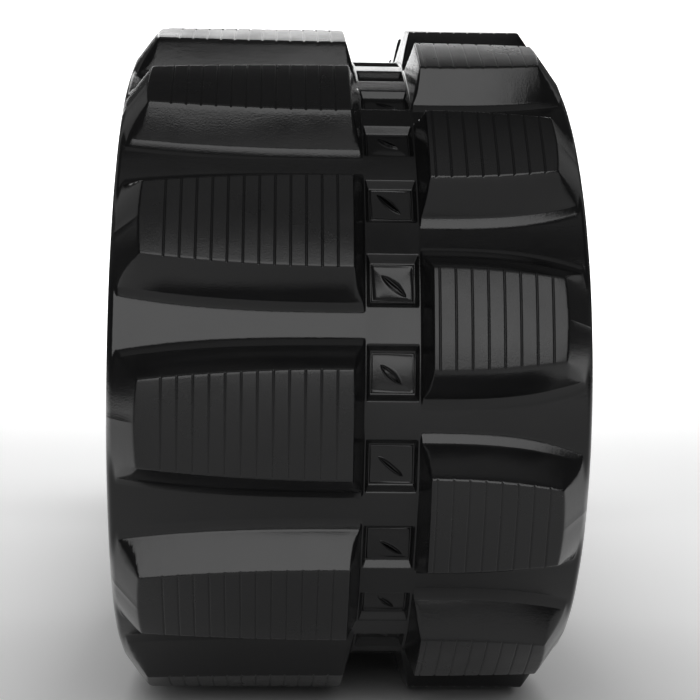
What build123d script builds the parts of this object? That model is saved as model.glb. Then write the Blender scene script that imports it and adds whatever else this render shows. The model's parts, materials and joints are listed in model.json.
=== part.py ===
"""Endless rubber track for a compact excavator: 300 mm wide, 55.5 mm pitch, 80 links.

The loop stands on its tread lugs. Its long way is Y, its width is X and the front end is at -Y.
It is made of nine lengths that bend against each other in the middle of a drive window, where
only rubber and the steel cord ply hold a real track together. Each length has the same six
sub-parts: belt, window skins, tread lugs, guide horns, steel cores and steel cord ply.
"""

import os
from math import cos, radians, sin, tan

from build123d import *

# Driving dimensions, in mm and degrees -------------------------------------------------------
belt_width = 300
pitch = 55.5

outer_cover = 11        # from the neutral line, the middle of the cord ply, to the outer face
inner_cover = 19        # from the neutral line to the inner face, where the rollers run
lug_height = 24.3

# The turn of each pair of links round an end of the loop, from the bottom run to the top run.
# They bring the belt four links' length in at both ends together, so the top run is shorter.
end_turns = [21.5, 34, 37.5, 33.5, 26, 15, 12.5]
bottom_links = 28
top_links = 24

window_left = 9.6       # the drive windows lie to the right of the middle of the belt
window_right = 41.9
bridge_length = 22.7    # rubber between two windows, over the middle of a core

skin_thickness = 2      # thin rubber that closes a window until the sprocket breaks it
skin_recess = 5

core_length = 168
core_width = 24
core_thickness = 11
core_corner = 5
core_middle_width = 17  # between the windows the core is narrower and thicker
core_middle_rise = 2.75
core_depth = 4          # from the neutral line to the core's outer face
horn_base_length = 28
horn_base_width = 15
horn_tip_length = 16
horn_tip_width = 9
horn_corner = 4
horn_height = 27
horn_offset = 9         # from the edge of a window to the middle of a guide horn
horn_steel_height = 20
horn_steel_length = 14
horn_steel_width = 6

ply_thickness = 4
ply_margin = 8          # rubber beside the cord ply

flex_angle = 5          # most that two lengths bend against each other from rest
flex_spare = 0.3        # spare angle left on each side of a joint when it is bent that far
flex_play = 0.3         # gap between two lengths on the neutral line
join_play = 2.4         # the same at the top middle, where no hinge holds the lengths
thin_edge = 0.3         # height of a lug where its flank runs out on the belt

# A lug: where its land and its foot begin and end across the belt, from the side next to the
# windows to the outer side, and how far they reach along the belt from the lug's middle, as
# parts of a pitch, on those same two sides.
wide_lug = {"land": (-1.5, -126.4), "foot": (7, -146), "land_reach": (0.511, 0.399)}
narrow_lug = {"land": (50.9, 130), "foot": (43.5, 147), "land_reach": (0.487, 0.395)}
foot_reach = (0.883, 0.66)

# The lengths of the loop and how many links each has, from the bottom run's front end upwards
lengths = {
    "front_lower_bend": 4,
    "front_tip": 4,
    "front_upper_bend": 6,
    "top_front_run": top_links // 2,
    "top_rear_run": top_links // 2,
    "rear_upper_bend": 6,
    "rear_tip": 4,
    "rear_lower_bend": 4,
    "bottom_run": bottom_links,
}

# The loop ------------------------------------------------------------------------------------
half_side = belt_width / 2
window_middle = (window_left + window_right) / 2
pair_turns = end_turns + [0] * (top_links // 2)
pair_turns = pair_turns + end_turns[::-1] + [0] * (bottom_links // 2)
link_count = 2 * len(pair_turns)


def heading(place):
    """Direction of the belt in degrees, at a place counted in links from the bottom run's front
    end: 0 is forwards along the bottom, 90 is up the front end, 180 is backwards along the top."""
    pairs = int(place % link_count / 2)
    return sum(pair_turns[:pairs]) + pair_turns[pairs] * (place % link_count / 2 - pairs)


def half_turn(joint):
    """Half the turn in degrees between the two links that meet at a joint."""
    before = heading((joint - 0.5) % link_count)
    after = heading((joint + 0.5) % link_count)
    return (after - before) % 360 / 2


def link_middles():
    """The middle of every link on the neutral line, as points (y, z)."""
    y = -bottom_links * pitch / 2
    z = outer_cover + lug_height
    middles = []
    for link in range(link_count):
        angle = radians(heading(link + 0.5))
        step_y = -pitch * cos(angle)
        step_z = pitch * sin(angle)
        middles.append((y + step_y / 2, z + step_z / 2))
        y += step_y
        z += step_z
    return middles


middles = link_middles()


def link_plane(link):
    """A link's own plane on the neutral line: X across the belt, Y along it, Z outwards."""
    y, z = middles[link % link_count]
    angle = radians(heading(link % link_count + 0.5))
    return Plane(origin=(0, y, z), x_dir=(1, 0, 0), z_dir=(0, -sin(angle), -cos(angle)))


# Joints between links that are also joints between two lengths, with the gap on each side
first_links = {}
cuts = {}
next_link = 0
for length_name, links in lengths.items():
    first_links[length_name] = next_link
    cuts[next_link] = flex_play / 2
    next_link += links
cuts[first_links["top_rear_run"]] = join_play / 2


def belt_point(link, part, height):
    """A point of the middle plane of the loop, part of a pitch from a link's middle and at a
    height over the neutral line. The ends of a link lean with the bend, and where the belt is
    cut between two lengths they stand back, so that the lengths can bend either way."""
    joint = (link + (1 if part > 0 else 0)) % link_count
    reach = pitch / 2 + height * tan(radians(half_turn(joint)))
    if joint in cuts:
        reach -= cuts[joint] + abs(height) * tan(radians(flex_angle / 2 + flex_spare))
    return link_plane(link).from_local_coords(Vector(0, 2 * part * reach, height))


def side_view(point):
    """A point as (y, z), for sketches on the plane that cuts the loop lengthwise."""
    return (point.Y, point.Z)


def belt_outline(first, count, low, high):
    """Outline of a layer of the belt between two heights over the neutral line, over some links."""
    over = [side_view(belt_point(first, -0.5, high))]
    under = [side_view(belt_point(first, -0.5, low))]
    for link in range(first, first + count):
        over.append(side_view(belt_point(link, 0.5, high)))
        under.append(side_view(belt_point(link, 0.5, low)))
    start = [side_view(belt_point(first, -0.5, 0))]
    end = [side_view(belt_point(first + count - 1, 0.5, 0))]
    return over + end + under[::-1] + start


def layer(outline, left, right, mode=Mode.ADD):
    """Extrude an outline of the side view across the belt, in the part that is being made."""
    with BuildSketch(Plane.YZ.offset(left)) as section:
        Polygon(*outline, align=None)
    extrude(section.sketch, amount=right - left, mode=mode)


# One steel core, one bridge and one pair of guide horns, all on a link's own plane ------------
core_middle_height = -core_depth - core_thickness / 2
horn_places = [window_left - horn_offset, window_right + horn_offset]

with BuildPart() as core:
    with Locations((window_middle, 0, core_middle_height)):
        Box(core_length, core_width, core_thickness)
    with Locations((window_middle, 0, core_middle_height + core_middle_rise)):
        Box(window_right - window_left, core_middle_width, core_thickness + 2 * core_middle_rise)
    with BuildSketch(Plane.XY.offset(-core_depth - core_thickness)):
        with Locations(*[(place, 0) for place in horn_places]):
            Rectangle(horn_steel_width, horn_steel_length)
    extrude(amount=-horn_steel_height)
    for side in (-1, 1):
        ends = core.edges().filter_by(Axis.Z).group_by(Axis.X)[0 if side < 0 else -1]
        fillet(ends, radius=core_corner)

with BuildPart() as bridge:
    with BuildSketch(Plane.XY.offset(-inner_cover)):
        with Locations((window_middle, 0)):
            Rectangle(window_right - window_left, bridge_length)
    extrude(amount=inner_cover + outer_cover)
    add(core.part, mode=Mode.SUBTRACT)

with BuildPart() as horn_pair:
    for place in horn_places:
        with BuildSketch(Plane.XY.offset(-inner_cover)):
            with Locations((place, 0)):
                RectangleRounded(horn_base_width, horn_base_length, horn_corner)
        with BuildSketch(Plane.XY.offset(-inner_cover - horn_height)):
            with Locations((place, 0)):
                RectangleRounded(horn_tip_width, horn_tip_length, horn_corner)
        loft(ruled=True)
    add(core.part, mode=Mode.SUBTRACT)


# Tread lugs ----------------------------------------------------------------------------------
def lug_rise(distance, side, lug):
    """Height of a lug at a distance from its middle, in pitches, on its inner or outer side."""
    land = lug["land_reach"][side]
    foot = foot_reach[side]
    rise = lug_height * min(1, (foot - distance) / (foot - land))
    return max(rise, thin_edge)


def lug_section(link, part, distance, lug):
    """The cross-section of a lug on the leaning plane at a place along a link."""
    foot = belt_point(link, part, 0)
    outward = belt_point(link, part, 1) - foot
    corners = []
    for side in (0, 1):
        rise = lug_rise(distance, side, lug)
        land_x = lug["land"][side]
        foot_x = lug["foot"][side]
        top_x = foot_x + (land_x - foot_x) * rise / lug_height
        pair = [(foot_x, outer_cover), (top_x, outer_cover + rise)]
        corners += pair if side == 0 else pair[::-1]
    points = [(x, height * outward.length) for x, height in corners]
    lean = Plane(origin=foot, x_dir=(1, 0, 0), z_dir=Vector(1, 0, 0).cross(outward))
    with BuildSketch(lean) as section:
        Polygon(*points, align=None)
    return section.sketch


def lug_stretch(link, shift, distances, lug):
    """Loft the stretch of a lug that lies on one link; the lug's middle is shift links behind."""
    sections = [lug_section(link, at - shift, abs(at), lug) for at in distances]
    loft(sections, ruled=True)


def lug_stretches(lug):
    """Places of the sections of a lug from its middle, by the link they lie on: 0 is its own."""
    land_end = lug["land_reach"][1]
    outer_foot = foot_reach[1]
    inner_foot = foot_reach[0]
    return {
        -1: [-inner_foot, -outer_foot, -0.5],
        0: [-0.5, -land_end, land_end, 0.5],
        1: [0.5, outer_foot, inner_foot],
    }


# Sub-parts of every length -------------------------------------------------------------------
os.makedirs("parts", exist_ok=True)
skin_top = outer_cover - skin_recess
ply_sides = [
    (-half_side + ply_margin, window_left - ply_margin),
    (window_right + ply_margin, half_side - ply_margin),
]


def write(part, kind, length_name):
    """Label a finished sub-part and write it to its STEP file."""
    part.label = kind + "_" + length_name
    export_step(part, "parts/" + part.label + ".step")


for length_name, count in lengths.items():
    first = first_links[length_name]
    links = range(first, first + count)
    planes = [link_plane(link) for link in links]

    with BuildPart() as belt:
        outline = belt_outline(first, count, -inner_cover, outer_cover)
        layer(outline, -half_side, window_left)
        layer(outline, window_right, half_side)
        ply_outline = belt_outline(first, count, -ply_thickness / 2, ply_thickness / 2)
        for left, right in ply_sides:
            layer(ply_outline, left, right, mode=Mode.SUBTRACT)
        with Locations(*planes):
            add(core.part, mode=Mode.SUBTRACT)
    bridges = [bridge.part.moved(plane.location) for plane in planes]
    belt_group = Compound(belt.solids() + [one for group in bridges for one in group.solids()])
    write(belt_group, "belt", length_name)

    with BuildPart() as cord_ply:
        for left, right in ply_sides:
            layer(ply_outline, left, right)
    write(cord_ply.part, "steel_cord_ply", length_name)

    with BuildPart() as cores:
        with Locations(*planes):
            add(core.part)
    write(cores.part, "steel_cores", length_name)

    with BuildPart() as horns:
        with Locations(*planes):
            add(horn_pair.part)
    write(horns.part, "guide_horns", length_name)

    with BuildPart() as skins:
        for link in links:
            for end in (-1, 1):
                edge = bridge_length / 2
                plane = link_plane(link)
                outline = []
                for height in (skin_top - skin_thickness, skin_top):
                    near = plane.from_local_coords(Vector(0, end * edge, height))
                    far = belt_point(link, end * 0.5, height)
                    outline += [near, far] if height == skin_top else [far, near]
                layer([side_view(point) for point in outline], window_left, window_right)
    write(skins.part, "window_skins", length_name)

    with BuildPart() as lugs:
        for link in range(first - 1, first + count + 1):
            lug = narrow_lug if link % 2 == 0 else wide_lug
            for shift, distances in lug_stretches(lug).items():
                if link + shift in links:
                    lug_stretch(link + shift, shift, distances, lug)
    write(lugs.part, "tread_lugs", length_name)
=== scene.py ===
import json
from math import cos, pi, radians, sin

import bpy
import numpy as np
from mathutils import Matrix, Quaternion, Vector


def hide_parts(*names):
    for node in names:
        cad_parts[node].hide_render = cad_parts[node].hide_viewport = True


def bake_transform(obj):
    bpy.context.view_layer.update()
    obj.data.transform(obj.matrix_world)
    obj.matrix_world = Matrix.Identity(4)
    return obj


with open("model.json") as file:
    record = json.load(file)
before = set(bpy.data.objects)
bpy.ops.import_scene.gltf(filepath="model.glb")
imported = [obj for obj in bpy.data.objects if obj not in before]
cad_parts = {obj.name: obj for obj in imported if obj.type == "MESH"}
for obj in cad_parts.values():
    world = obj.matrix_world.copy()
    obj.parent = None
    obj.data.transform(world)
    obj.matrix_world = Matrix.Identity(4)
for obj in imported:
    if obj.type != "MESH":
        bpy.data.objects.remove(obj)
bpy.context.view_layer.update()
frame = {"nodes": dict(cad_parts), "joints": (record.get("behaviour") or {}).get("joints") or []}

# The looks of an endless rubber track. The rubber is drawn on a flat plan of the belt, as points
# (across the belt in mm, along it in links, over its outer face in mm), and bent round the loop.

MM = 0.001
CLOSE = 1e-6            # two places in mm or links nearer than this are the same

# Sizes of the belt, as in the CAD model, in mm and degrees -----------------------------------
PITCH = 55.5
HALF_WIDTH = 150
OUTER_COVER = 11
THICKNESS = 30
LUG_HEIGHT = 24.3
END_TURNS = [21.5, 34, 37.5, 33.5, 26, 15, 12.5]
TOP_LINKS = 24
BOTTOM_LINKS = 28
WINDOW = (9.6, 41.9)
BRIDGE_HALF = 22.7 / 2 / PITCH      # half a bridge along the belt, in links
SKIN_DEPTH = 5
SKIN_THICKNESS = 2

# Where the two kinds of lug lie across the belt, and how far they reach along it, in links, at
# their side next to the windows and at their outer side. These outlines and the hollow flanks
# are finer than the CAD lugs, and leave them by up to about 4 mm in plan, inside the CAD box.
WIDE = {
    "land": (0.5, -130.5), "foot": (8.2, -149), "land_reach": (0.510, 0.397),
    "foot_reach": (0.868, 0.757), "grooves": 12, "first_groove": 9.4, "groove_step": 9.65,
}
NARROW = {
    "land": (49.5, 130.5), "foot": (43.3, 148.5), "land_reach": (0.490, 0.394),
    "foot_reach": (0.862, 0.725), "grooves": 8, "first_groove": 3.2, "groove_step": 9.85,
}
GROOVE_HALF = 0.75      # half the width of a groove, which is V-shaped, in mm
GROOVE_DEPTH = 1.0
GROOVE_SHARES = (0.955, 0.97)   # shares of the lug height over which a groove fades in
LAND_SHARE = 0.965      # share of the lug height from which a face is part of the land
PARTING_RIDGE = 0.35    # height of the mould's parting line on the outer wall of every lug
RIDGE_START = 4         # it starts this far inside the edge of the land, in mm
RIDGE_FADE = 0.2        # and fades out over this share of the lug height below the land

pair_turns = END_TURNS + [0] * (TOP_LINKS // 2) + END_TURNS[::-1] + [0] * (BOTTOM_LINKS // 2)
LINKS = 2 * len(pair_turns)

# The loop ------------------------------------------------------------------------------------
BEND_REACH = 0.42       # how far the belt bends to each side of a joint between links, in links
ORIGIN_JOINT = "front_lower_flex"   # the CAD hinge at the loop's joint number 0


def heading(place):
    """Direction of the belt in radians at a place in links: 0 is forwards along the bottom."""
    place = place % LINKS
    pairs = int(place / 2)
    return radians(sum(pair_turns[:pairs]) + pair_turns[pairs] * (place / 2 - pairs))


def loop_joints():
    """The joints between the links, as (y, z) in metres, from ORIGIN_JOINT round the front end."""
    first = next(j for j in frame["joints"] if j["name"] == ORIGIN_JOINT)["pos_m"]
    points = [(first[1], first[2])]
    for link in range(LINKS - 1):
        angle = heading(link + 0.5)
        y, z = points[-1]
        points.append((y - PITCH * MM * cos(angle), z + PITCH * MM * sin(angle)))
    return np.array(points)


joints = loop_joints()
link_headings = [heading(link + 0.5) for link in range(LINKS)]
directions = np.array([(-cos(angle), sin(angle)) for angle in link_headings])


def bend(across, along, over):
    """Bend points of the flat plan round the loop. Returns an array of (x, y, z) in metres."""
    across, along, over = np.broadcast_arrays(across, along, over)
    link = np.floor(along).astype(int)
    part = along - link
    side = np.where(part < 0.5, 0, 1)
    joint = joints[(link + side) % LINKS]
    before = directions[(link + side - 1) % LINKS]
    after = directions[(link + side) % LINKS]
    reach = BEND_REACH * PITCH * MM
    distance = np.where(side == 0, part, part - 1)[..., None]
    curved = np.clip(0.5 + distance / (2 * BEND_REACH), 0, 1)
    tangent = (1 - curved) * before + curved * after
    start = joint - before * reach
    end = joint + after * reach
    centre = (1 - curved) ** 2 * start + 2 * curved * (1 - curved) * joint + curved**2 * end
    beyond = distance - np.clip(distance, -BEND_REACH, BEND_REACH)
    centre = centre + beyond * PITCH * MM * np.where(distance < 0, before, after)
    tangent = tangent / np.linalg.norm(tangent, axis=-1, keepdims=True)
    height = (over + OUTER_COVER) * MM
    y = centre[..., 0] - tangent[..., 1] * height
    z = centre[..., 1] + tangent[..., 0] * height
    return np.stack([across * MM, y, z], axis=-1)


# Meshes --------------------------------------------------------------------------------------
def smooth_min(a, b, reach):
    """The lower of two heights, with the edge where they cross rounded over a reach."""
    return np.minimum(a, b) - np.maximum(reach - np.abs(a - b), 0) ** 2 / (4 * reach)


def smooth_max(a, b, reach):
    """The same for the higher of two heights."""
    return -smooth_min(-a, -b, reach)


class Sheet:
    """Collects grids of points on the flat plan into one mesh round the loop."""

    def __init__(self):
        self.points = []
        self.faces = []
        self.slots = []
        self.count = 0

    def grid(self, across, along, over, inward=False, closed=False, keep=None, slot=None):
        """Add a grid: rows run along the belt and columns across it. A closed grid joins its last
        column to its first. keep says which of its cells are made, and slot which material of the
        piece each cell has."""
        points = bend(across, along, over)
        rows, columns = points.shape[:2]
        number = self.count + np.arange(rows * columns).reshape(rows, columns)
        right = np.roll(number, -1, axis=1) if closed else number[:, 1:]
        left = number if closed else number[:, :-1]
        cells = np.stack([left[:-1], right[:-1], right[1:], left[1:]], axis=-1)
        slots = np.zeros(cells.shape[:2], dtype=np.int32) if slot is None else slot
        if keep is not None:
            cells = cells[keep]
            slots = slots[keep]
        cells = cells.reshape(-1, 4)
        self.slots.append(slots.reshape(-1))
        self.faces.append(cells[:, ::-1] if inward else cells)
        self.points.append(points.reshape(-1, 3))
        self.count += rows * columns

    def build(self, name, materials):
        mesh = bpy.data.meshes.new(name)
        points = np.concatenate(self.points)
        faces = np.concatenate(self.faces)
        mesh.vertices.add(len(points))
        mesh.vertices.foreach_set("co", points.astype(np.float32).ravel())
        mesh.loops.add(faces.size)
        mesh.loops.foreach_set("vertex_index", faces.astype(np.int32).ravel())
        mesh.polygons.add(len(faces))
        mesh.polygons.foreach_set("loop_start", np.arange(0, faces.size, 4, dtype=np.int32))
        mesh.polygons.foreach_set("material_index", np.concatenate(self.slots))
        mesh.update(calc_edges=True)
        mesh.shade_smooth()
        for material in materials:
            mesh.materials.append(material)
        piece = bpy.data.objects.new(name, mesh)
        bpy.context.scene.collection.objects.link(piece)
        return piece


# Tread ---------------------------------------------------------------------------------------
GROOVE_COLUMNS = [-1.1, -0.75, -0.15, 0.15, 0.75, 1.1]      # round the middle of a groove, in mm
# Places on a slope from 1.1, just on the land, down to its foot, and on the ground beyond it
SLOPE_STEPS = [1.1, 1.06, 1.03, 1.0, 0.97, 0.94, 0.86, 0.7, 0.5, 0.36, 0.3, 0.27, 0.24, 0.19,
               0.13, 0.06, 0.0]
BEYOND_STEPS = [-0.09, -0.18, -0.3]
LAND_STEPS = [0.0, 0.03, 0.3, 0.6, 0.85]    # from a lug's middle to where its slope starts
VALLEY_STEPS = [0.2, 0.4, 0.65, 1.0]        # from a lug's foot to the middle of the valley
LEAST_COLUMN = 0.1      # two columns of the mesh are at least this far apart, in mm
CREASE_PLACE = 0.27     # a flank is steep above this place, and flatter and hollow below it
CREASE_HEIGHT = 0.115
HOLLOW = 0.3            # how much of the flatter part's slope comes only towards the crease
SHARP = 0.04            # reach of the sharper rounded edges, as a share of the lug height
SOFT = 0.08             # the same of the softer ones
INNER_FOOT = 0.1        # and of the inner wall's fillet
INNER_STEEPER = 1.05    # the inner wall is this much steeper than from its foot to the land
OUTER_BOW = 1.5         # the outer wall stands back towards the flanks, in mm
STRIP_FADE = 0.8        # the tread comes down to the belt over this width at the strip, in mm
REACH_END = 1.15        # a lug's taper goes on a little past its land
STRIP_MARGIN = 0.7
STRIP_EDGES = (WINDOW[0] - STRIP_MARGIN, WINDOW[1] + STRIP_MARGIN)  # between tread and windows

# The side of the belt from its inner face round to its outer one: inset from the side, height
SIDE_PROFILE = [(4.5, -30), (2.6, -29.6), (1.2, -28.4), (0.4, -26.6), (0, -24), (0, -16), (0, -8),
                (0.2, -5.5), (0.8, -3.2), (1.9, -1.3), (3.1, -0.2), (4.2, 0)]


def slope_profile(place):
    """Height of a lug's flank, 0 to 1, at a place from its foot, 0, to the land, 1."""
    share = np.clip(place / CREASE_PLACE, 0, 1)
    hollow = CREASE_HEIGHT * share * (1 - HOLLOW + HOLLOW * share)
    upper = 1 - (1 - place) * (1 - CREASE_HEIGHT) / (1 - CREASE_PLACE)
    wall = np.where(place < CREASE_PLACE, hollow, upper)
    return smooth_min(wall, 1, SHARP)


def outer_profile(place):
    """The same for the steep wall at a lug's outer side."""
    return smooth_min(smooth_max(place, 0, SOFT), 1, SHARP)


def inner_profile(place):
    """The same for the wall next to the windows."""
    return smooth_min(smooth_max(place * INNER_STEEPER, 0, INNER_FOOT), 1, SOFT)


def reaches(lug, across):
    """How far a lug's land and its foot reach along the belt, in links, at a place across it."""
    inner, outer = lug["land"]
    share = np.clip((across - inner) / (outer - inner), 0, REACH_END)
    land_inner, land_outer = lug["land_reach"]
    foot_inner, foot_outer = lug["foot_reach"]
    land = land_inner + (land_outer - land_inner) * share**2
    foot = foot_inner + (foot_outer - foot_inner) * share**3
    return land, foot


def lug_height(lug, across, distance):
    """Height of the tread over the belt, 0 to 1, at a distance from a lug's middle in links."""
    land, foot = reaches(lug, across)
    flank = slope_profile((foot - distance) / (foot - land))
    outer_foot = lug["foot"][1]
    bow = OUTER_BOW * (distance / land) ** 2 * np.sign(outer_foot)
    outer = outer_profile((across + bow - outer_foot) / (lug["land"][1] - outer_foot))
    inner = inner_profile((across - lug["foot"][0]) / (lug["land"][0] - lug["foot"][0]))
    height = smooth_min(smooth_min(flank, outer, SHARP), inner, SOFT)
    edge = np.abs(across - STRIP_EDGES[0 if outer_foot < 0 else 1])
    return np.maximum(height, 0) * np.clip(edge / STRIP_FADE, 0, 1)


def groove_places(lug):
    """The middles of the grooves across a lug's land."""
    inner, outer = lug["land"]
    way = 1 if outer > inner else -1
    return [inner + way * (lug["first_groove"] + lug["groove_step"] * i)
            for i in range(lug["grooves"])]


def groove_depth(lug, across):
    """Depth of the grooves at a place across a lug's land."""
    nearest = np.min([np.abs(across - place) for place in groove_places(lug)], axis=0)
    return GROOVE_DEPTH * np.clip(1 - nearest / GROOVE_HALF, 0, 1)


def tread_columns(lug):
    """Places across the belt of the tread's columns, with their inset heights at the side."""
    way = 1 if lug["land"][1] > lug["land"][0] else -1
    inner_edge, outer_edge = lug["land"]
    columns = [STRIP_EDGES[1] if way > 0 else STRIP_EDGES[0]]
    for step in (SLOPE_STEPS + BEYOND_STEPS)[::-1]:
        place = lug["foot"][0] + step * (inner_edge - lug["foot"][0])
        if (place - columns[-1]) * way > LEAST_COLUMN:
            columns.append(place)
    outer_start = lug["foot"][1] + SLOPE_STEPS[0] * (outer_edge - lug["foot"][1])
    for groove in groove_places(lug):
        for offset in GROOVE_COLUMNS:
            place = groove + offset * way
            clear = (outer_start - place) * way > 2 * LEAST_COLUMN
            if clear and (place - columns[-1]) * way > LEAST_COLUMN:
                columns.append(place)
    for step in SLOPE_STEPS + BEYOND_STEPS:
        columns.append(lug["foot"][1] + step * (outer_edge - lug["foot"][1]))
    columns = [place for place in columns if abs(place) < HALF_WIDTH - SIDE_PROFILE[-1][0]]
    heights = [0.0] * len(columns)
    for inset, height in SIDE_PROFILE[::-1]:
        columns.append(way * (HALF_WIDTH - inset))
        heights.append(height)
    if way < 0:
        columns = columns[::-1]
        heights = heights[::-1]
    return np.array(columns), np.array(heights)


def tread_rows(lug, across):
    """Distances from a lug's middle in links, of the rows to the middle of the next valley."""
    land, foot = reaches(lug, across)
    start = foot - SLOPE_STEPS[0] * (foot - land)
    rows = [start * step for step in LAND_STEPS]
    rows += [foot - step * (foot - land) for step in SLOPE_STEPS]
    rows += [foot + (1 - foot) * step for step in VALLEY_STEPS]
    return np.array(rows)


def tread(lug, parity):
    """A maker of the outer face on one side of the windows. The lugs stand on the links of the
    given parity, 0 for even and 1 for odd."""

    def make(sheet, first, last):
        across, base = tread_columns(lug)
        distance = tread_rows(lug, across)
        share = lug_height(lug, across, distance)
        grooved = np.clip((share - GROOVE_SHARES[0]) / (GROOVE_SHARES[1] - GROOVE_SHARES[0]), 0, 1)
        at_line = np.clip(1 - distance * PITCH, 0, 1) * np.clip((1 - share) / RIDGE_FADE, 0, 1)
        on_wall = np.abs(across) > np.abs(lug["land"][1]) - RIDGE_START
        height = LUG_HEIGHT * share - groove_depth(lug, across) * grooved + base
        height = height + PARTING_RIDGE * at_line * on_wall
        parts = []
        heights = []
        shares = []
        for link in range(first, last):
            way = 1 if link % 2 == parity else -1
            along = distance if way > 0 else 1 - distance[::-1]
            skip = 0 if link == first else 1
            parts.append(link + 0.5 + along[skip:])
            heights.append(height[::way][skip:])
            shares.append(share[::way][skip:])
        along = np.concatenate(parts)
        top = np.concatenate(shares) > LAND_SHARE
        on_land = top[:-1, :-1] & top[1:, :-1] & top[:-1, 1:] & top[1:, 1:]
        sheet.grid(across[None, :], along, np.concatenate(heights), slot=on_land.astype(np.int32))

    return make


# Drive windows and the inside ----------------------------------------------------------------
# The recess over a window's skin has sloping sides and ends, each given as (across, along) in mm
RECESS_RUN = (1.9, 3.4)     # length of the slopes
SKIN_INSET = (2.6, 4.2)     # from the window's edge to the skin's
RECESS_CORNER = 0.5         # rounding where two slopes meet, as a share of the depth
RECESS_ROUND = 0.16         # the same at the top and the foot of a slope
RECESS_STEPS = [-0.14, -0.07, 0.0, 0.06, 0.12, 0.19, 0.29, 0.4, 0.52, 0.62, 0.69, 0.76, 0.83,
                0.9, 1]     # places of the mesh from the window's edge to the skin's
BRIDGE_STEPS = [0, 0.5, 0.9]    # and from the middle of a bridge to the window's edge
WINDOW_MIDDLE = (WINDOW[0] + WINDOW[1]) / 2


def recess(across, distance):
    """Depth of the outer face at a window, with distance in links from the middle of a bridge."""
    side = np.minimum(across - WINDOW[0], WINDOW[1] - across) / RECESS_RUN[0]
    end = (distance - BRIDGE_HALF) * PITCH / RECESS_RUN[1]
    fall = smooth_max(smooth_min(side, end, RECESS_CORNER), 0, RECESS_ROUND)
    return -SKIN_DEPTH * smooth_min(fall, 1, RECESS_ROUND)


def window_strip(sheet, first, last):
    """The outer face between the lugs: bridges, and recesses that the skins close."""
    left = [STRIP_EDGES[0]] + [WINDOW[0] + step * SKIN_INSET[0] for step in RECESS_STEPS]
    right = [STRIP_EDGES[1]] + [WINDOW[1] - step * SKIN_INSET[0] for step in RECESS_STEPS]
    across = np.array(left + [WINDOW_MIDDLE] + right[::-1])
    half = [BRIDGE_HALF * step for step in BRIDGE_STEPS]
    half += [BRIDGE_HALF + step * SKIN_INSET[1] / PITCH for step in RECESS_STEPS]
    half += [(half[-1] + 0.5) / 2, 0.5]
    half = np.array(half)
    distance = np.concatenate([half, 1 - half[::-1][1:]])
    nearest = np.minimum(distance, 1 - distance)[:, None]
    height = recess(across[None, :], nearest)
    skin_start = WINDOW[0] + SKIN_INSET[0]
    skin_end = WINDOW[1] - SKIN_INSET[0]
    in_skin_across = (across[:-1] >= skin_start - CLOSE) & (across[1:] <= skin_end + CLOSE)
    skin_row = BRIDGE_HALF + SKIN_INSET[1] / PITCH
    in_skin_along = (distance[:-1] >= skin_row - CLOSE) & (distance[1:] <= 1 - skin_row + CLOSE)
    keep = ~(in_skin_along[:, None] & in_skin_across[None, :])
    for link in range(first, last):
        sheet.grid(across[None, :], link + 0.5 + distance[:, None], height, keep=keep)


POCKET_ROUND = 2.0      # rounding of a bridge's inner corners, where the sprocket teeth work
POCKET_STEPS = 4        # steps of that rounding
CORNER_START = 1.6      # a row of the mesh before it, as a multiple of its radius
WALL_MIDDLE = -18       # a row of the mesh half way down a bridge's wall, in mm
INNER_EDGE = HALF_WIDTH - SIDE_PROFILE[0][0]
INNER_ROWS = 9          # rows and columns of the plain inner face on every link
INNER_COLUMNS = 7


def inside_face(sheet, first, last):
    """The inner face with the pockets of the windows, up to the skins' inner faces."""
    under = -SKIN_DEPTH - SKIN_THICKNESS
    corner = POCKET_ROUND / PITCH
    bridge = [(0, -THICKNESS), (BRIDGE_HALF - CORNER_START * corner, -THICKNESS)]
    for step in range(POCKET_STEPS + 1):
        angle = step * pi / 2 / POCKET_STEPS
        bridge.append((BRIDGE_HALF - corner * (1 - sin(angle)),
                       -THICKNESS + POCKET_ROUND * (1 - cos(angle))))
    bridge += [(BRIDGE_HALF, WALL_MIDDLE), (BRIDGE_HALF, under)]
    next_bridge = [(1 - along, over) for along, over in bridge[::-1]]
    profile = np.array(bridge + next_bridge)
    edges = np.array([WINDOW[0], WINDOW_MIDDLE, WINDOW[1]])
    rows = np.linspace(0, 1, INNER_ROWS)
    wall = np.linspace(BRIDGE_HALF - corner, 1 - BRIDGE_HALF + corner, INNER_COLUMNS)
    wall_heights = np.array([[-THICKNESS, under]])
    for link in range(first, last):
        sheet.grid(edges[None, :], link + 0.5 + profile[:, :1], profile[:, 1:], inward=True)
        for start, end in ((-INNER_EDGE, WINDOW[0]), (WINDOW[1], INNER_EDGE)):
            across = np.linspace(start, end, INNER_COLUMNS)
            sheet.grid(across[None, :], link + 0.5 + rows[:, None], -THICKNESS, inward=True)
        for place, inward in ((WINDOW[0], True), (WINDOW[1], False)):
            sheet.grid(place, link + 0.5 + wall[:, None], wall_heights, inward=inward)


SLIT_LENGTH = 17
SLIT_HALF_WIDTH = 0.9
LIP_HALF_WIDTH = 2.2
LIP_SPARE = 2           # the lip round a slit is this much longer than the slit
SKIN_POINTS = 64        # points of every ring of a skin
# How the skins differ from each other: each value is drawn evenly between two ends
SLIT_TILTS = (-52, -36)         # degrees from the way across the belt
SLIT_LENGTHS = (0.75, 1.1)      # shares of the slit's length
SLIT_SHIFTS = (-3, 2)           # mm from the middle of the skin, each way
SLIT_OPENINGS = (0.4, 1.3)      # shares of the slit's half width
LIP_WIDTHS = (0.8, 1.2)         # shares of the lip's half width
DISHES = (-1.1, 1.2)            # height of the skin at the lip, in mm
LIP_HEIGHTS = (0.9, 1.4)        # height of the lip over the skin, in mm
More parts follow.
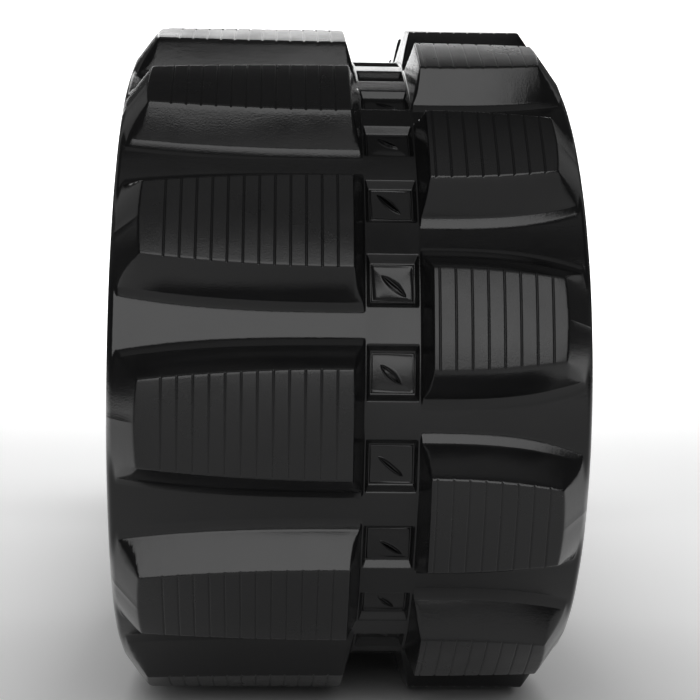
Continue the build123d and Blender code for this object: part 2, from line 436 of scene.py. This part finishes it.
# Rings of points. The bead at the skin's edge: share of the way to the lip, height in mm
BEAD_RINGS = [(0, -0.3), (0.04, 0.3), (0.08, 0.5), (0.12, 0.3)]
DISH_SHARES = [0.22, 0.36, 0.52, 0.7, 0.88, 1]
# The lip: share of the way to the slit's rim, share of the lip's height
LIP_RINGS = [(0.25, 0.35), (0.5, 0.75), (0.75, 1), (0.9, 0.95), (1, 0.6)]
# The walls of the slit: share of the rim's size, height in mm
SLIT_RINGS = [(0.97, -0.6), (0.93, -1.8), (0.9, -SKIN_THICKNESS)]


def skin(sheet, joint, draw):
    """One window skin with its knife slit: rings of points from the skin's edge to the slit."""
    half_x = (WINDOW[1] - WINDOW[0]) / 2 - SKIN_INSET[0]
    half_y = (0.5 - BRIDGE_HALF) * PITCH - SKIN_INSET[1]
    angle = np.linspace(0, 2 * pi, SKIN_POINTS, endpoint=False) + pi / SKIN_POINTS
    reach = 1 / np.maximum(np.abs(np.cos(angle)) / half_x, np.abs(np.sin(angle)) / half_y)
    edge = np.stack([reach * np.cos(angle), reach * np.sin(angle)], axis=1)
    tilt = radians(draw.uniform(*SLIT_TILTS))
    length = SLIT_LENGTH * draw.uniform(*SLIT_LENGTHS)
    middle = np.array([draw.uniform(*SLIT_SHIFTS), draw.uniform(*SLIT_SHIFTS)])
    turn = np.array([[cos(tilt), -sin(tilt)], [sin(tilt), cos(tilt)]])
    turned = angle - tilt

    def lens(long, half):
        """A ring that is pointed at both ends, at the slit's place and tilt."""
        bulge = np.sin(turned) * np.abs(np.sin(turned)) ** 0.5
        ring = np.stack([np.cos(turned) * long / 2, bulge * half], axis=1)
        return ring @ turn.T + middle

    open_half = SLIT_HALF_WIDTH * draw.uniform(*SLIT_OPENINGS)
    lip = lens(length + LIP_SPARE, LIP_HALF_WIDTH * draw.uniform(*LIP_WIDTHS))
    rim = lens(length, open_half)
    dish = draw.uniform(*DISHES)
    lift = draw.uniform(*LIP_HEIGHTS)
    rings = BEAD_RINGS + [(share, dish * sin(share * pi / 2)) for share in DISH_SHARES]
    places = [edge + (lip - edge) * share for share, _ in rings]
    heights = [height for _, height in rings]
    for share, height in LIP_RINGS:
        places.append(lip + (rim - lip) * share)
        heights.append(dish + lift * height)
    for share, height in SLIT_RINGS:
        places.append(middle + (rim - middle) * share)
        heights.append(height)
    places = np.array(places)
    across = WINDOW_MIDDLE + places[..., 0]
    along = joint + places[..., 1] / PITCH
    over = -SKIN_DEPTH + np.array(heights)[:, None] + np.zeros(SKIN_POINTS)
    sheet.grid(across, along, over, closed=True)


def skins(sheet, first, last):
    """The skins at the joints between the links, each drawn with its joint's number as the seed."""
    for joint in range(first + 1, last + 1):
        skin(sheet, joint, np.random.default_rng(joint % LINKS))


HORN_BASE = (15, 28)    # width and length in mm
HORN_TIP = (9, 16)
HORN_HEIGHT = 27
HORN_OFFSET = 9         # from the edge of a window to the middle of a horn
HORN_CORNER = 4
HORN_TIP_ROUND = 3
HORN_TIP_STEPS = 5
TIP_START = 0.9         # share of the height where the rounded tip starts
HORN_STEPS = [0.25, 0.5, 0.75, TIP_START]
HORN_FILLET = [(1.18, 0), (1.06, 0.5), (1.0, 1.8)]      # how much wider, height in mm
TIP_HOLE = 0.02         # the last ring is so small that it closes the tip


def rounded_outline(width, length, radius, steps=6):
    """Points of a rounded rectangle, as (across, along) in mm."""
    points = []
    for quarter in range(4):
        turn = quarter * pi / 2
        x = (width / 2 - radius) * (1 if quarter in (0, 3) else -1)
        y = (length / 2 - radius) * (1 if quarter in (0, 1) else -1)
        for step in range(steps + 1):
            angle = turn + step * pi / 2 / steps
            points.append((x + radius * cos(angle), y + radius * sin(angle)))
    return np.array(points)


def horn(sheet, link, place):
    """One guide horn on the inside, with a fillet at its base and a rounded tip."""
    outlines = []
    heights = []
    for grow, height in HORN_FILLET + [(1, HORN_HEIGHT * share) for share in HORN_STEPS]:
        mix = height / HORN_HEIGHT
        width = HORN_BASE[0] + (HORN_TIP[0] - HORN_BASE[0]) * mix
        length = HORN_BASE[1] + (HORN_TIP[1] - HORN_BASE[1]) * mix
        outlines.append(rounded_outline(width * grow, length * grow, HORN_CORNER))
        heights.append(-THICKNESS - height)
    for step in range(1, HORN_TIP_STEPS + 1):
        angle = step * pi / 2 / HORN_TIP_STEPS
        shrink = HORN_TIP_ROUND * (1 - cos(angle))
        outlines.append(rounded_outline(HORN_TIP[0] - 2 * shrink, HORN_TIP[1] - 2 * shrink,
                                        HORN_CORNER - shrink))
        rise = TIP_START + (1 - TIP_START) * sin(angle)
        heights.append(-THICKNESS - HORN_HEIGHT * rise)
    outlines.append(outlines[-1] * TIP_HOLE)
    heights.append(heights[-1])
    outlines = np.array(outlines)
    over = np.array(heights)[:, None] + np.zeros(outlines.shape[1])
    sheet.grid(place + outlines[..., 0], link + 0.5 + outlines[..., 1] / PITCH, over, closed=True)


def horns(sheet, first, last):
    for link in range(first, last):
        for place in (WINDOW[0] - HORN_OFFSET, WINDOW[1] + HORN_OFFSET):
            horn(sheet, link, place)


# Materials -----------------------------------------------------------------------------------
def new_material(name):
    material = bpy.data.materials.new(name)
    material.use_nodes = True
    nodes = material.node_tree.nodes
    return material, nodes, material.node_tree.links, nodes["Principled BSDF"]


# Noise in each material, by its scale in waves per metre, and the bumps made from it
CLOUD_SCALE = 9         # slow changes of colour
PATCH_SCALE = 26        # changes of gloss
BROAD_SCALE = 60        # unevenness of a moulded face
GRAIN_SCALE = 900       # grain of its skin
NOISE_RANGE = (0.3, 0.7)    # nearly all of a noise lies between these values
GRAIN_DEPTH = 0.0003    # in m
BROAD_DEPTH = 0.0005
BROAD_STRENGTH = 0.25
METAL_SPREAD = 0.1
RUBBER_IOR = 1.5


def noise(nodes, links, where, scale, detail, roughness=0.5):
    node = nodes.new("ShaderNodeTexNoise")
    node.inputs["Scale"].default_value = scale
    node.inputs["Detail"].default_value = detail
    node.inputs["Roughness"].default_value = roughness
    links.new(where.outputs["Object"], node.inputs["Vector"])
    return node


def ramp(nodes, links, source, low, high):
    """Stretch a noise to a range of values."""
    node = nodes.new("ShaderNodeMapRange")
    node.inputs["From Min"].default_value = NOISE_RANGE[0]
    node.inputs["From Max"].default_value = NOISE_RANGE[1]
    node.inputs["To Min"].default_value = low
    node.inputs["To Max"].default_value = high
    links.new(source.outputs["Fac"], node.inputs["Value"])
    return node


def bump(nodes, links, source, strength, depth):
    node = nodes.new("ShaderNodeBump")
    node.inputs["Strength"].default_value = strength
    node.inputs["Distance"].default_value = depth
    links.new(source.outputs["Fac"], node.inputs["Height"])
    return node


def rubber(name, dark, light, roughness, spread, grain):
    """Moulded black rubber: colour and gloss vary a little, and the skin has a fine grain."""
    material, nodes, links, shader = new_material(name)
    where = nodes.new("ShaderNodeTexCoord")
    cloud = noise(nodes, links, where, CLOUD_SCALE, 4)
    colour = nodes.new("ShaderNodeMix")
    colour.data_type = "RGBA"
    colour.inputs["A"].default_value = (dark, dark, dark * 1.05, 1)
    colour.inputs["B"].default_value = (light, light, light * 1.04, 1)
    links.new(ramp(nodes, links, cloud, 0, 1).outputs["Result"], colour.inputs["Factor"])
    links.new(colour.outputs["Result"], shader.inputs["Base Color"])
    patch = noise(nodes, links, where, PATCH_SCALE, 5, 0.6)
    gloss = ramp(nodes, links, patch, roughness - spread, roughness + spread)
    links.new(gloss.outputs["Result"], shader.inputs["Roughness"])
    fine = noise(nodes, links, where, GRAIN_SCALE, 3, 0.6)
    broad = noise(nodes, links, where, BROAD_SCALE, 3)
    fine_bump = bump(nodes, links, fine, grain, GRAIN_DEPTH)
    broad_bump = bump(nodes, links, broad, BROAD_STRENGTH, BROAD_DEPTH)
    links.new(fine_bump.outputs["Normal"], broad_bump.inputs["Normal"])
    links.new(broad_bump.outputs["Normal"], shader.inputs["Normal"])
    shader.inputs["IOR"].default_value = RUBBER_IOR
    return material


def metal(name, colour, roughness):
    """Steel with uneven gloss."""
    material, nodes, links, shader = new_material(name)
    where = nodes.new("ShaderNodeTexCoord")
    patch = noise(nodes, links, where, BROAD_SCALE, 5)
    gloss = ramp(nodes, links, patch, roughness - METAL_SPREAD, roughness + METAL_SPREAD)
    links.new(gloss.outputs["Result"], shader.inputs["Roughness"])
    shader.inputs["Base Color"].default_value = (*colour, 1)
    shader.inputs["Metallic"].default_value = 1.0
    return material


flank_rubber = rubber("flank_rubber", dark=0.006, light=0.010, roughness=0.16, spread=0.05, grain=0.25)
land_rubber = rubber("land_rubber", dark=0.007, light=0.012, roughness=0.3, spread=0.05, grain=0.35)
belt_rubber = rubber("belt_rubber", dark=0.006, light=0.010, roughness=0.22, spread=0.05, grain=0.2)
skin_rubber = rubber("skin_rubber", dark=0.006, light=0.010, roughness=0.2, spread=0.03, grain=0.1)
core_steel = metal("core_steel", colour=(0.2, 0.2, 0.21), roughness=0.5)
cord_steel = metal("cord_steel", colour=(0.5, 0.42, 0.28), roughness=0.4)

# Pieces: the loop is drawn in eight stretches, one round each hinge ----------------------------
# Name, links at whose middles it starts and ends, joint with the hinge, bodies before and after.
# The cut in the middle of the top run has no hinge, and front_top reaches half a link past it.
STRETCHES = [
    ("front_bottom", -14, 2, 0, "bottom_run", "front_lower_bend"),
    ("front_lower", 2, 6, 4, "front_lower_bend", "front_tip"),
    ("front_upper", 6, 10, 8, "front_tip", "front_upper_bend"),
    ("front_top", 10, 26, 14, "front_upper_bend", "top_front_run"),
    ("rear_top", 26, 41, 38, "top_rear_run", "rear_upper_bend"),
    ("rear_upper", 41, 45, 44, "rear_upper_bend", "rear_tip"),
    ("rear_lower", 45, 49, 48, "rear_tip", "rear_lower_bend"),
    ("rear_bottom", 49, 66, 52, "rear_lower_bend", "bottom_run"),
]
# Name, makers of its meshes, materials, the CAD node it replaces, the record's material slot
KINDS = [
    ("wide_tread", [tread(WIDE, 1)], [flank_rubber, land_rubber], "tread_lugs", "track_rubber"),
    ("narrow_tread", [tread(NARROW, 0)], [flank_rubber, land_rubber], "tread_lugs", "track_rubber"),
    ("belt", [window_strip, inside_face], [belt_rubber], "belt", "track_rubber"),
    ("skins", [skins], [skin_rubber], "window_skins", "window_rubber"),
    ("horns", [horns], [belt_rubber], "guide_horns", "track_rubber"),
]
BLEND_REACH = 0.9       # links to each side of a hinge, where two places on the loop are worked out; nothing uses them

for stretch, first, last, joint, before, after in STRETCHES:
    for kind, makers, materials, node, slot in KINDS:
        sheet = Sheet()
        for make in makers:
            make(sheet, first, last)
        piece = sheet.build(kind + "_" + stretch, materials)
        back = bend(0, joint - BLEND_REACH, -OUTER_COVER)
        front = bend(0, joint + BLEND_REACH, -OUTER_COVER)
        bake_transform(piece)
        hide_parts(node + "_" + before, node + "_" + after)

for name, node in frame["nodes"].items():
    if name.startswith(("steel_cores", "steel_cord_ply")):
        steel = core_steel if name.startswith("steel_cores") else cord_steel
        node.data.materials.clear()
        node.data.materials.append(steel)

# Studio --------------------------------------------------------------------------------------
FRONT_PLACE = bend(0, 6, -OUTER_COVER)     # the foremost joint of the loop
FLOOR_HALF = (20, 14)    # half the floor's width and depth, in m
FLOOR_COLOUR = (0.85, 0.85, 0.85)
FLOOR_GLOW = 0.6         # the floor glows, so that it stays pale without strong lamps
PAINTED_SHADE_GLOW = 0.12          # painted shade: the glow is dimmer in front of the loop, up to DIM_FROM, and pale from DIM_TO
DIM_FROM = -1.7          # both are places along Y, in m
DIM_TO = -0.5
PAINTED_SHADOW_REACH = 0.6        # painted shadow: how far round the object the floor's glow is darkened by ambient occlusion, in m
PAINTED_SHADOW_POWER = 2.0        # how fast that painted shadow gets darker towards the object
BACKDROP_WIDTH = 7.2
BACKDROP_HEIGHT = 4
BACKDROP_COLOUR = (0.9, 0.9, 0.9)
BACKDROP_GLOW = 1.1
STAGE_ROUGHNESS = 0.9
WORLD_STRENGTH = 0.05
MIDDLE_HEIGHT = 0.25     # half the height of the loop, in m


def stage_material(name, colour, glow):
    """A plain material that also glows, so that it stays pale on every side."""
    material, _, _, shader = new_material(name)
    shader.inputs["Base Color"].default_value = (*colour, 1)
    shader.inputs["Emission Color"].default_value = (1, 1, 1, 1)
    shader.inputs["Emission Strength"].default_value = glow
    shader.inputs["Roughness"].default_value = STAGE_ROUGHNESS
    return material


def paint_floor_shade(material):
    """Paint shade into a floor's glow: a painted shadow under and round the object, and painted shade
    in front of the loop.
    """
    nodes = material.node_tree.nodes
    links = material.node_tree.links
    open_sky = nodes.new("ShaderNodeAmbientOcclusion")
    open_sky.inputs["Distance"].default_value = PAINTED_SHADOW_REACH
    painted_shadow = nodes.new("ShaderNodeMath")
    painted_shadow.operation = "POWER"
    painted_shadow.inputs[1].default_value = PAINTED_SHADOW_POWER
    links.new(open_sky.outputs["AO"], painted_shadow.inputs[0])
    where = nodes.new("ShaderNodeNewGeometry")
    where_parts = nodes.new("ShaderNodeSeparateXYZ")
    links.new(where.outputs["Position"], where_parts.inputs[0])
    painted_front_shade = nodes.new("ShaderNodeMapRange")
    painted_front_shade.interpolation_type = "SMOOTHSTEP"
    painted_front_shade.inputs["From Min"].default_value = DIM_FROM
    painted_front_shade.inputs["From Max"].default_value = DIM_TO
    painted_front_shade.inputs["To Min"].default_value = PAINTED_SHADE_GLOW
    painted_front_shade.inputs["To Max"].default_value = FLOOR_GLOW
    links.new(where_parts.outputs["Y"], painted_front_shade.inputs["Value"])
    glow = nodes.new("ShaderNodeMath")
    glow.operation = "MULTIPLY"
    links.new(painted_shadow.outputs[0], glow.inputs[0])
    links.new(painted_front_shade.outputs[0], glow.inputs[1])
    links.new(glow.outputs[0], nodes["Principled BSDF"].inputs["Emission Strength"])


def plate(name, corners, material):
    mesh = bpy.data.meshes.new(name)
    mesh.from_pydata(corners, [], [(0, 1, 2, 3)])
    mesh.materials.append(material)
    piece = bpy.data.objects.new(name, mesh)
    bpy.context.scene.collection.objects.link(piece)


def area_light(name, place, target, size, power):
    """A rectangular lamp at a place, turned to a target. size is its width and its height."""
    light = bpy.data.lights.new(name, "AREA")
    light.shape = "RECTANGLE"
    light.size, light.size_y = size
    light.energy = power
    lamp = bpy.data.objects.new(name, light)
    lamp.location = place
    lamp.rotation_euler = (Vector(target) - Vector(place)).to_track_quat("-Z", "Y").to_euler()
    bpy.context.scene.collection.objects.link(lamp)


pale = stage_material("pale_floor", FLOOR_COLOUR, FLOOR_GLOW)
# paint a shadow round the object and shade in front of the loop into the floor's glow
paint_floor_shade(pale)
across, deep = FLOOR_HALF
plate("floor", [(-across, -deep, 0), (across, -deep, 0), (across, deep, 0), (-across, deep, 0)], pale)
white = stage_material("backdrop_white", BACKDROP_COLOUR, BACKDROP_GLOW)
half = BACKDROP_WIDTH / 2
high_side = BACKDROP_HEIGHT
plate("backdrop", [(-half, deep, 0), (half, deep, 0), (half, deep, high_side),
                   (-half, deep, high_side)], white)

front = (0, FRONT_PLACE[1], MIDDLE_HEIGHT)
area_light("key", place=(0, -3.5, 1.42), target=front, size=(2.4, 2.1), power=32)
area_light("overhead", place=(0, -1.6, 3.0), target=front, size=(2.4, 1.6), power=2.5)
area_light("ceiling", place=(0, 8.8, 4.2), target=(0, 8.8, 0), size=(6, 9), power=200)
area_light("rear_key", place=(0, 4.6, 2.8), target=(0, 1, MIDDLE_HEIGHT), size=(3, 1.2), power=15)
for side in (-1, 1):
    area_light("side_wash", place=(side * 3.5, 2.2, 2.2), target=(0, 0.6, MIDDLE_HEIGHT),
               size=(3, 1.2), power=2)

world = bpy.data.worlds.new("studio")
bpy.context.scene.world = world
world.use_nodes = True
background = world.node_tree.nodes["Background"]
background.inputs["Color"].default_value = (1, 1, 1, 1)
background.inputs["Strength"].default_value = WORLD_STRENGTH
bpy.context.scene.view_settings.view_transform = "Standard"

# Camera: it stands in front of the loop and looks along it ------------------------------------
CAMERA_DISTANCE = 1.2           # from the foremost joint, in m
CAMERA_SIDE = -0.05
CAMERA_OVER_FRONT = 0.0167      # over that joint
CAMERA_YAW = 0.0413             # in radians
CAMERA_PITCH = -0.0021
CAMERA_ROLL = 0.0101
CAMERA_LENS = 100               # in mm
CAMERA_SENSOR = 36

camera_data = bpy.data.cameras.new("camera")
camera_data.sensor_width = CAMERA_SENSOR
camera_data.lens = CAMERA_LENS
camera = bpy.data.objects.new("camera", camera_data)
camera.location = (CAMERA_SIDE, FRONT_PLACE[1] - CAMERA_DISTANCE,
                   FRONT_PLACE[2] + CAMERA_OVER_FRONT)
look = Vector((sin(CAMERA_YAW), cos(CAMERA_YAW), sin(CAMERA_PITCH)))
level = look.to_track_quat("-Z", "Y")
camera.rotation_euler = (level @ Quaternion((0, 0, 1), CAMERA_ROLL)).to_euler()
bpy.context.scene.collection.objects.link(camera)
bpy.context.scene.camera = camera
